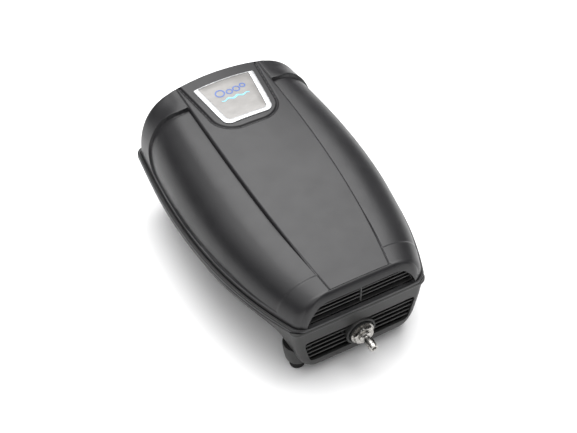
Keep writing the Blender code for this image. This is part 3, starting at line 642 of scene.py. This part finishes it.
def makeBadge():
    base, top, border, edge = badge["seat"], badge["top"], badge["border"], badge["edge"]
    loops = [badgeLoop(0.0, base), badgeLoop(0.0, top - 0.0003), badgeLoop(edge, top),
             badgeLoop(border - 0.0006, top), badgeLoop(border, top - edge), badgeLoop(border, base)]
    rim = meshPiece("badgeFrame", *loft(loops, ring=True), finishes["silver"], 40)
    fit(rim, "cover", "silver_badge", "badge_frame")
    face = top - badge["inlaySink"]
    # share of the full size and height of each loop, over the face and back under it
    stages = [(share, face) for share in (0.02, 0.25, 0.5, 0.75, 0.98)] + [(1.0, face - 0.0002)]
    stages += [(share, base) for share in (1.0, 0.5, 0.02)]
    plateLoops = [scaledBadge(border + 0.0002, share, lift) for share, lift in stages]
    plate = meshPiece("badgeInlay", *loft(plateLoops), finishes["inlay"], 40)
    fit(plate, "cover", "pale_grey_inlay", "badge_plate")
    makeEmblem(face)


emblem = dict(
    bubbles=((-0.0125, 0.264, 0.0054), (-0.0025, 0.2622, 0.0038), (0.0058, 0.2632, 0.0042),
             (0.0138, 0.2655, 0.0034)),  # x, depth and radius
    ring=0.0015, ringSides=28, waveDepth=0.253, waveHalf=0.0158, waveSwing=0.001, waveWidth=0.0013,
    lift=0.00002, height=0.00012)


def makeEmblem(lift):
    # a plain row of bubbles over a wave
    low, high = emblem["lift"], emblem["height"]
    turns = np.linspace(0, 2 * math.pi, emblem["ringSides"], endpoint=False)
    rings = []
    for x0, d0, radius in emblem["bubbles"]:
        inner = radius - emblem["ring"]
        loops = []
        for r, up in ((radius, low), (radius, high), (inner, high), (inner, low)):
            loops.append([onPanel(x0 + r * math.cos(t), d0 + r * math.sin(t), lift + up) for t in turns])
        rings.append(meshPiece("bubble", *loft(loops, ring=True), finishes["emblemBlue"]))
    fit(joinPieces("badgeBubbles", rings), "cover", "pale_grey_inlay")
    loops = []
    for s in np.linspace(-1, 1, 49):
        x = s * emblem["waveHalf"]
        d = emblem["waveDepth"] + emblem["waveSwing"] * math.sin(s * 3 * math.pi)
        half = emblem["waveWidth"] * (1 - 0.6 * abs(s))
        section = ((-half, low), (half, low), (half, high), (-half, high))
        loops.append([onPanel(x, d + w, lift + up) for w, up in section])
    fit(meshPiece("badgeWave", *loft(loops), finishes["emblemCyan"]), "cover", "pale_grey_inlay")


makeHood()
makeUpperGrille()
makeBadge()
print("hood, grille and badge ready")


upward, ahead, backward = (0, 0, 1), (0, -1, 0), (0, 1, 0)
sides = ((-1, "left"), (1, "right"))
# body, slot and finish
rubberLook = ("base", "black_rubber", "rubber")
nickelLook = ("base", "nickel_plate", "nickel")
zincLook = ("base", "zinc_steel", "zinc")
plasticLook = ("base", "dark_grey_plastic", "darkPlastic")

tub = dict(
    # height, then insets at the sides, the front and the rear
    outside=mm((11.5, 40, 6.8, 32), (11.9, 36.5, 5.2, 29), (13.1, 33.5, 3.9, 26.3), (15, 31, 3, 24),
               (18, 26.8, 2.3, 20.3), (21.5, 23.1, 1.8, 17.3), (25.8, 19.3, 1.6, 14.2),
               (30.2, 16.4, 1.5, 12), (40, 12.8, 1.4, 10.1), (52, 8.5, 1.2, 8), (62, 6, 1, 5.8),
               (67.2, 4.6, 0.8, 4.5), (68.4, 4.1, 0.7, 4), (69, 3, 0.6, 3), (69.2, 1.2, 0.3, 1.2),
               (69.6, 0.4, 0.1, 0.4), (70.2, 0, 0, 0), (72.3, 0, 0, 0), (72.8, 0.3, 0.3, 0.3),
               (73, 0.9, 0.9, 0.9), (73, 3.2, 3.2, 3.2)),
    ledge=mm((71, 3.2, 3.2, 3.2), (71, 7.8, 6.4, 7.8)),
    # the same below the ledge, set in by the wall
    inside=mm((52, 8.5, 1.2, 8), (30, 16.5, 1.5, 12), (22, 22.5, 1.8, 17), (17.6, 31, 3, 24),
              (14.1, 40, 6.8, 32)),
    wall=0.0026,
    # radius and height: the leg, then the post that stands on it, and the screw's bore
    leg=mm((8.4, 10.3), (9.8, 10.7), (10.9, 11.8), (11.7, 13.6), (13.2, 22), (14.4, 32), (13.9, 34.5),
           (5.5, 35), (5.5, 70.9)),
    bore=mm((3.6, 5), (3.6, 62.7), (2.1, 62.7), (2.1, 80)),
    frontFoot=(0.057, 0.023), rearFoot=(0.07, 0.262),
    bossRadius=0.016, outletHeight=0.039,
    # inset from the boss's radius and reach ahead of its face
    bossRim=mm((0, -6), (0, -0.2), (0.4, 0.4), (1.2, 0.6), (2.2, 0.4), (2.6, -0.2), (3, -0.4)),
    doorHalf=0.0328, doorLow=0.0262, doorHigh=0.0478, doorRound=0.002, doorDepths=(0.27, 0.315),
    gland=(0.05, 0.036), glandHole=0.0074, glandDepth=0.277,
    louvreFlare=((-0.004, 0.0008), (0.0024, 0.0002), (0.012, 0.0)),  # depth and growth
)


def waist(depth):
    # the tub is drawn in most just behind its front corners
    return float(0.47 + 0.9 * smoothStep(depth / 0.05) - 0.37 * smoothStep((depth - 0.06) / 0.09))


def rimLoop(height, side, front, rear, extra=0.0):
    front, rear = front + extra, rear + extra
    cornerFront, cornerRear = hood["cornerFront"], hood["cornerRear"]
    first, last = front + cornerFront, rimLength - rear - cornerRear

    def half(depth):
        return rimHalf(depth) - side * waist(depth) - extra

    right = arcPoints((half(first) - cornerFront, first), cornerFront, -90, 0, 12)
    right += [(half(depth), depth) for depth in (first + (last - first) * k / 40 for k in range(1, 40))]
    right += arcPoints((half(last) - cornerRear, last), cornerRear, 0, 90, 12)
    frontHalf = [(right[0][0] * s / 8, front) for s in range(8)]
    rearHalf = [(right[-1][0] * s / 10, rimLength - rear) for s in range(9, -1, -1)]
    rightSide = frontHalf + right + rearHalf
    loop = rightSide + [(-x, d) for x, d in rightSide[-2:0:-1]]
    return [(x, frontY + float(bowed(x, d)), height) for x, d in loop]


louvre = dict(bottom=0.0242, top=0.0543, bottomHalf=0.054, topHalf=0.0612, corner=0.006, count=5,
              slatDepths=(0.003, 0.0054), slatHeight=0.0019, tuck=0.0006)


def louvrePath(grow):
    bottomHalf, topHalf = louvre["bottomHalf"] + grow, louvre["topHalf"] + grow
    bottom, top = louvre["bottom"] - grow, louvre["top"] + grow
    corners = [(-bottomHalf, bottom), (bottomHalf, bottom), (topHalf, top), (-topHalf, top)]
    return roundedPath(corners, louvre["corner"], 6)


def louvreHalf(height):
    share = (height - louvre["bottom"]) / (louvre["top"] - louvre["bottom"])
    half = louvre["bottomHalf"] + (louvre["topHalf"] - louvre["bottomHalf"]) * share
    low = max(0.0, louvre["corner"] * 0.6 - (height - louvre["bottom"]))
    high = max(0.0, louvre["corner"] * 0.6 - (louvre["top"] - height))
    return half - low - high


def makeTub():
    rings = [rimLoop(*ring) for ring in tub["outside"] + tub["ledge"]]
    rings += [rimLoop(*ring, tub["wall"]) for ring in tub["inside"]]
    plastic = finishes["tubShell"]
    shell = meshPiece("tubShell", *loft(rings), plastic)
    added, cut = [], []
    for x, depth in (tub["frontFoot"], tub["rearFoot"]):
        for side in (-1, 1):
            spot = (side * x, depth, 0)
            added.append(turnedPiece("leg", tub["leg"], spot, upward, plastic, 48))
            cut.append(turnedPiece("bore", tub["bore"], spot, upward, plastic, 32))
    opening = [[(x, frontY + d, z) for x, z in louvrePath(grow)] for d, grow in tub["louvreFlare"]]
    cut.append(meshPiece("opening", *loft(opening), plastic))
    half, low, high = tub["doorHalf"], tub["doorLow"], tub["doorHigh"]
    outline = roundedPath([(-half, low), (half, low), (half, high), (-half, high)], tub["doorRound"], 3)
    door = [[(x, frontY + d, z) for x, z in outline] for d in tub["doorDepths"]]
    cut.append(meshPiece("door", *loft(door), plastic))
    hole = [(tub["glandHole"], 0.0), (tub["glandHole"], 0.03)]
    x, height = tub["gland"]
    cut.append(turnedPiece("glandHole", hole, (x, tub["glandDepth"], height), backward, plastic, 40))
    carve(shell, added, "UNION", 38)
    carve(shell, cut, "DIFFERENCE", 38)
    fit(shell, "base", "satin_charcoal_plastic", "tub")


def makeFrontLouvre():
    # blades between the opening's edge and the round outlet boss
    pieces = []
    gap = (louvre["top"] - louvre["bottom"]) / louvre["count"]
    for k in range(1, louvre["count"]):
        height = louvre["bottom"] + gap * k
        off = min(abs(height - tub["outletHeight"]), tub["bossRadius"] - 0.001)
        inner = math.sqrt((tub["bossRadius"] - 0.0005) ** 2 - off ** 2)
        for side in (-1, 1):
            span = sorted((side * inner, side * (louvreHalf(height) + louvre["tuck"])))
            pieces.append(slatBar("blade", span, height, louvre["slatHeight"], *louvre["slatDepths"]))
    blades = joinPieces("frontLouvreBlades", pieces)
    blades.data.materials.clear()
    blades.data.materials.append(finishes["tubShell"])
    softenEdges(blades, 0.0003, 2)
    fit(blades, "base", "satin_charcoal_plastic")
    radius = tub["bossRadius"]
    profile = [(outlet["passage"], -0.006)] + [(radius - inset, along) for inset, along in tub["bossRim"]]
    profile.append((outlet["passage"], -0.0004))
    boss = turnedPiece("outletBoss", profile, outlet["spot"], ahead, finishes["tubShell"], 80, ring=True)
    fit(boss, "base", "satin_charcoal_plastic")


seals = dict(
    section=mm((71.3, 3.6), (73.1, 3.6), (73.1, 6.2), (71.3, 6.2)),  # height and inset
    pad=mm((2.6, 0.8), (5.8, 0.6), (6.4, 0), (7, 0.2), (7.4, 0.9), (7.5, 3.4), (7.2, 3.8), (7.2, 4.4),
           (7.5, 4.8), (7.5, 9.2), (7.2, 10)),
)


def makeSealAndFeet():
    loops = [rimLoop(z, inset, inset, inset) for z, inset in seals["section"]]
    fit(meshPiece("rimSeal", *loft(loops, ring=True), finishes["rubber"]), *rubberLook[:2], "rim_gasket")
    for end, (x, depth) in (("front", tub["frontFoot"]), ("rear", tub["rearFoot"])):
        for side, word in sides:
            fitTurned(f"footPad_{end}_{word}", f"foot_pad_{end}_{word}", seals["pad"], (side * x, depth, 0),
                      upward, 48, rubberLook)


outlet = dict(
    spot=(0, 0, tub["outletHeight"]), passage=0.0044,
    washer=mm((4.6, 0.2), (12.6, 0.2), (13, 0.6), (13, 1.8), (12.6, 2.2), (4.6, 2.2)),
    collarRadius=0.0126, collarRange=(0.0009, 0.0027), collarTeeth=40, toothDepth=0.0004,
    nutFlats=0.0098, nutRange=(0.0024, 0.0068), locknutFlats=0.007, locknutRange=(-0.0108, -0.0066),
    nutBore=0.0046, nutSides=72,
    neck=mm((3.6, -11.5), (3.6, 6.6), (5.8, 6.6), (6.2, 7), (6.2, 8.4), (5.7, 9), (4.2, 9.4), (3.5, 10),
            (3.3, 10.8), (3.4, 12.2), (4, 12.7), (4.6, 13), (4.7, 13.5), (4.2, 16), (4.2, 16.2),
            (4.7, 16.5), (4.7, 17), (4.2, 19.4), (4.2, 19.6), (4.7, 19.9), (4.7, 20.4), (4.2, 23.4),
            (3.9, 23.9), (3, 24), (2.4, 24), (2.2, 23.6), (2, 22.8), (2, -11.5)),
)


def makeOutlet():
    fitTurned("outletWasher", "outlet_washer", outlet["washer"], outlet["spot"], ahead, 72, rubberLook, True)
    fitTurned("outletNozzle", "outlet_nozzle", outlet["neck"], outlet["spot"], ahead, 64, nickelLook, True)
    makeNut("outletNut", outlet["nutRange"], outlet["nutFlats"], "outlet_nut")
    makeNut("outletLocknut", outlet["locknutRange"], outlet["locknutFlats"], "outlet_locknut")
    # a knurled collar shows behind the nut
    count = outlet["collarTeeth"] * 4
    radii = [outlet["collarRadius"] - outlet["toothDepth"] * (i % 4 in (0, 1)) for i in range(count)]
    loops = [facingLoop(along, radii) for along in outlet["collarRange"]]
    fit(meshPiece("outletCollar", *loft(loops), finishes["nickel"]), *nickelLook[:2])


def facingLoop(along, radii):
    # a loop round the outlet's axis, with its own radius at each point
    x, _, z = outlet["spot"]
    turns = [2 * math.pi * i / len(radii) for i in range(len(radii))]
    return [(x + r * math.cos(t), frontY - along, z + r * math.sin(t)) for t, r in zip(turns, radii)]


def makeNut(name, span, flats, node):
    # a hexagon with its corners turned off at both faces, and its bore
    low, high = span
    corner, bore = flats / math.cos(math.pi / 6), outlet["nutBore"]
    face = high - 0.0004  # a shallow countersink in the front face
    stages = ((low, flats * 1.03), (low + 0.0006, corner), (high - 0.0012, corner), (face, flats * 1.04),
              (high, flats * 0.97), (high, bore + 0.0016), (face, bore + 0.0006), (face, bore), (low, bore))
    turns = [2 * math.pi * i / outlet["nutSides"] for i in range(outlet["nutSides"])]
    radii = [flats / math.cos((t + math.radians(15)) % (math.pi / 3) - math.pi / 6) for t in turns]
    loops = [facingLoop(along, [min(radius, limit) for radius in radii]) for along, limit in stages]
    fit(meshPiece(name, *loft(loops, ring=True), finishes["nickel"], 25), *nickelLook[:2], node)


makeTub()
makeFrontLouvre()
makeSealAndFeet()
makeOutlet()
print("tub, feet and outlet ready")


drive = dict(
    height=0.058, leverX=0.018, rodDepth=0.095, pivotDepth=0.071,
    mounts=((0.03, 0.076, "front"), (0.046, 0.178, "rear")),
    hoseKnots=((0.05, 0.0729, 0.05), (0.05, 0.056, 0.05), (0.042, 0.038, 0.0415),
               (0.03, 0.021, 0.039), (0.016, 0.021, 0.039)),
    hoseRadius=0.004, hoseSteps=40, hoseSides=24,
    wireTurns=13, wireDepths=(0.1383, 0.1612), wireOuter=(0.0205, 0.0238), wireInner=(0.0098, 0.0198),
    wireBulge=0.0007, wireCorner=0.004,
)
# radius and place along the axis
profiles = dict(
    # a flat round head below a threaded shank
    screw=mm((0.4, 59.6), (2.4, 59.6), (2.8, 59.9), (3, 60.4), (3, 62.2), (2.8, 62.4),
             *[(1.6 - 0.4 * (k % 2), 62.6 + 0.8 * k) for k in range(29)], (0.4, 86.5)),
    mount=mm((6.6, 14.4), (7, 14.9), (7, 17.6), (6.6, 18.2), (5.4, 19), (5.2, 19.4), (5.4, 19.8),
             (6.6, 20.5), (7, 21.1), (7, 23.2), (6.6, 23.7)),
    # a ribbed rubber disc that stays with its pump chamber
    bellows=mm((0.4, 14.1), (11.8, 14.1), (13, 14.4), (14.6, 15.2), (15.8, 16), (15.7, 16.8),
               (14.7, 17.6), (14.6, 18.2), (15.8, 19), (17.4, 19.6), (19, 20.1), (19.9, 20.8),
               (20, 21.6), (20, 23.3), (19.7, 23.7), (0.4, 23.7)),
    # the lever's rod and the disc on its end
    disc=mm((0.4, 4.3), (2.6, 4.3), (3, 4.6), (3, 9.3), (3.4, 9.6), (11.6, 9.6), (12, 9.9), (12, 11.1),
            (11.7, 11.5), (0.4, 11.5)),
    pin=mm((0.4, 48.3), (2.1, 48.3), (2.4, 48.6), (2.4, 67.4), (2.1, 67.7), (0.4, 67.7)),
    # a ribbed grommet through the rear wall
    grommet=mm((7, 273), (7, 296.2), (8.8, 296.3), (9.2, 296.8), (9.2, 300.4), (8.8, 300.9), (7, 301.2),
               (6.4, 301.8), (6.6, 302.4), (6.1, 303), (6.2, 303.7), (5.8, 304.3), (5.9, 304.9),
               (5.5, 305.4), (3.8, 305.5), (3.4, 305), (3.4, 273)),
)
# moulded and stamped pieces: look, edge rounding and nodes
roundedPieces = (
    (zincLook, 0.0006, "chassis_plate", "pivot_bracket"),
    (zincLook, 0.0005, "core_stand"),
    (("base", "lamination_steel", "laminations"), 0.0004, "core"),
    (plasticLook, 0.0005, "coil_bobbin"),
    (plasticLook, 0.0012, "terminal_block"),
    (plasticLook, 0.0014, "air_manifold"),
    (plasticLook, 0.0012, "pump_chamber_left", "pump_chamber_right"),
    (plasticLook, 0.0009, "valve_cover_left", "valve_cover_right"),
    (plasticLook, 0.0008, "drawer_rail_left", "drawer_rail_right"),
    (plasticLook, 0.0004, "gland_locknut"),
    (("drawer", "black_plastic", "grille"), 0.0006, "filter_drawer"),
    (("drawer", "grey_foam", "foam"), 0.0016, "filter_pad"),
    (("arm_left", "ferrite", "ferrite"), 0.0005, "magnet_left"),
    (("arm_right", "ferrite", "ferrite"), 0.0005, "magnet_right"),
    (("arm_left", "white_plastic", "lever"), 0.0008, "lever_left"),
    (("arm_right", "white_plastic", "lever"), 0.0008, "lever_right"),
)


def roundedCopy(nodeName, look, width):
    # the node's own shape with flat faces merged and edges rounded
    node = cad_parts[nodeName]
    work = bmesh.new()
    work.from_mesh(node.data)
    work.transform(node.matrix_world)
    bmesh.ops.remove_doubles(work, verts=work.verts, dist=1e-6)
    bmesh.ops.dissolve_limit(work, angle_limit=math.radians(0.6), verts=work.verts, edges=work.edges)
    mesh = bpy.data.meshes.new(nodeName + "Rounded")
    work.to_mesh(mesh)
    work.free()
    mesh.shade_smooth()
    mesh.materials.append(finishes[look[2]])
    mesh.set_sharp_from_angle(angle=math.radians(55))
    fit(softenEdges(placed(nodeName + "Rounded", mesh), width, 2, 28), *look[:2], nodeName)


def makeHose(side, word):
    # a round tube along one smooth curve
    steps, count, knots = drive["hoseSteps"], drive["hoseSides"], drive["hoseKnots"]
    turns = [2 * math.pi * i / count for i in range(count)]
    spots = []
    for k in range(steps + 1):
        t = k / steps
        weights = [math.comb(4, n) * t ** n * (1 - t) ** (4 - n) for n in range(5)]
        x, depth, z = (sum(w * knot[axis] for w, knot in zip(weights, knots)) for axis in range(3))
        spots.append(Vector((side * x, frontY + depth, z)))
    loops = []
    for k, spot in enumerate(spots):
        along = (spots[min(k + 1, steps)] - spots[max(k - 1, 0)]).normalized()
        across = along.cross(Vector(upward)).normalized()
        up = across.cross(along)
        loops.append([spot + (across * math.cos(t) + up * math.sin(t)) * drive["hoseRadius"] for t in turns])
    hose = meshPiece("airHose" + word.capitalize(), *loft(loops), finishes["rubber"])
    fit(hose, *rubberLook[:2], f"air_hose_{word}")


def makeWinding():
    # each turn of wire bulges out a little from the next
    near, far = drive["wireDepths"]
    rows, most = drive["wireTurns"] * 4, drive["wireBulge"]
    frames = []
    for k in range(rows + 1):
        sunk = most * (1 - abs(math.sin(math.pi * k / 4)))
        frames.append([*(size - sunk for size in drive["wireOuter"]), near + (far - near) * k / rows])
    frames += [[*drive["wireInner"], far], [*drive["wireInner"], near]]
    loops = []
    for wide, tall, depth in frames:
        corners = ((-wide, -tall), (wide, -tall), (wide, tall), (-wide, tall))
        outline = roundedPath(corners, drive["wireCorner"], 6)
        loops.append([(x, frontY + depth, drive["height"] + z) for x, z in outline])
    winding = meshPiece("coilWinding", *loft(loops, ring=True), finishes["copper"], 80)
    fit(winding, "base", "copper_wire", "coil_winding")


def makeDriveSide(side, word):
    tail = word.capitalize()
    for end in ("front", "rear"):
        x, depth = tub[end + "Foot"]
        fitTurned("hoodScrew" + end.capitalize() + tail, f"hood_screw_{end}_{word}", profiles["screw"],
                  (side * x, depth, 0), upward, 32, zincLook)
    for x, depth, end in drive["mounts"]:
        fitTurned("rubberMount" + end.capitalize() + tail, f"rubber_mount_{end}_{word}", profiles["mount"],
                  (side * x, depth, 0), upward, 40, rubberLook)
    spot, out = (side * drive["leverX"], drive["rodDepth"], drive["height"]), (side, 0, 0)
    fitTurned("bellows" + tail, f"diaphragm_{word}", profiles["bellows"], spot, out, 72, rubberLook)
    discLook = (f"arm_{word}", *zincLook[1:])
    fitTurned("pressureDisc" + tail, f"diaphragm_disc_{word}", profiles["disc"], spot, out, 56, discLook)
    spot = (side * drive["leverX"], drive["pivotDepth"], 0)
    fitTurned("pivotPin" + tail, f"pivot_pin_{word}", profiles["pin"], spot, upward, 32, zincLook)
    makeHose(side, word)


for look, width, *nodeNames in roundedPieces:
    for nodeName in nodeNames:
        roundedCopy(nodeName, look, width)
for side, word in sides:
    makeDriveSide(side, word)
makeWinding()
x, height = tub["gland"]
fitTurned("cableGrommet", "cable_gland", profiles["grommet"], (x, 0, height), backward, 56, rubberLook, True)
print("drive ready")


studio = dict(
    lookAt=(0.0, 0.14, 0.076), azimuth=-29.07, elevation=45.84, distance=1.217,
    # viewWidth is how wide a strip the camera sees at its distance
    shift=(-0.002045, -0.00799), sensor=36, viewWidth=0.577,
    floorHalf=6.0, floorSteps=24,
    overhead=dict(place=(0.25, 0.5, 1.5), size=1.6, power=33),
    fill=dict(place=(-1.2, -1.0, 1.3), size=1.4, power=3),
    lightsAim=(0, 0, 0.05),
    # a dim surround up to the first height, bright from the second
    skyHeights=(0.48, 0.86), skyLow=(0.055, 0.055, 0.063, 1), skyHigh=(1.65, 1.65, 1.65, 1),
    backdrop=(0.95, 0.95, 0.95, 1),
)


def makeStudio():
    half, count = studio["floorHalf"], studio["floorSteps"] + 1
    spots = np.linspace(-half, half, count)
    verts = [(x, y, 0.0) for y in spots for x in spots]
    floor = meshPiece("studioFloor", verts, skinFaces(count, count, 0, False), finishes["floor"])
    for name in ("overhead", "fill"):
        look = studio[name]
        lamp = bpy.data.lights.new(name, "AREA")
        lamp.size = look["size"]
        lamp.energy = look["power"]
        lamp.shape = "SQUARE"
        holder = placed(name, lamp)
        holder.location = look["place"]
        aim = Vector(studio["lightsAim"]) - holder.location
        holder.rotation_euler = aim.to_track_quat("-Z", "Y").to_euler()
    world = bpy.data.worlds.new("studioWorld")
    world.use_nodes = True
    tree = world.node_tree
    place = tree.nodes.new("ShaderNodeTexCoord")
    split = tree.nodes.new("ShaderNodeSeparateXYZ")
    tree.links.new(place.outputs["Generated"], split.inputs["Vector"])
    ramp = tree.nodes.new("ShaderNodeValToRGB")
    for stop, height, colour in zip(ramp.color_ramp.elements, studio["skyHeights"],
                                    (studio["skyLow"], studio["skyHigh"])):
        stop.position = height
        stop.color = colour
    tree.links.new(split.outputs["Z"], ramp.inputs["Fac"])
    seen = tree.nodes.new("ShaderNodeLightPath")
    mix = tree.nodes.new("ShaderNodeMix")
    mix.data_type = "RGBA"
    tree.links.new(seen.outputs["Is Camera Ray"], mix.inputs["Factor"])
    tree.links.new(ramp.outputs["Color"], mix.inputs[6])
    mix.inputs[7].default_value = studio["backdrop"]
    tree.links.new(mix.outputs[2], tree.nodes["Background"].inputs["Color"])
    scene.world = world


def makeCamera():
    turn, rise = math.radians(studio["azimuth"]), math.radians(studio["elevation"])
    back = Vector((math.sin(turn) * math.cos(rise), -math.cos(turn) * math.cos(rise), math.sin(rise)))
    x, depth, z = studio["lookAt"]
    camera = bpy.data.cameras.new("studioCamera")
    camera.sensor_width = studio["sensor"]
    camera.lens = studio["sensor"] * studio["distance"] / studio["viewWidth"]
    camera.shift_x, camera.shift_y = studio["shift"]
    camera.clip_end = 50
    holder = placed("studioCamera", camera)
    holder.location = Vector((x, frontY + depth, z)) + back * studio["distance"]
    holder.rotation_euler = back.to_track_quat("Z", "Y").to_euler()
    scene.camera = holder
    scene.view_settings.view_transform = "Standard"


makeStudio()
makeCamera()
print("studio ready")
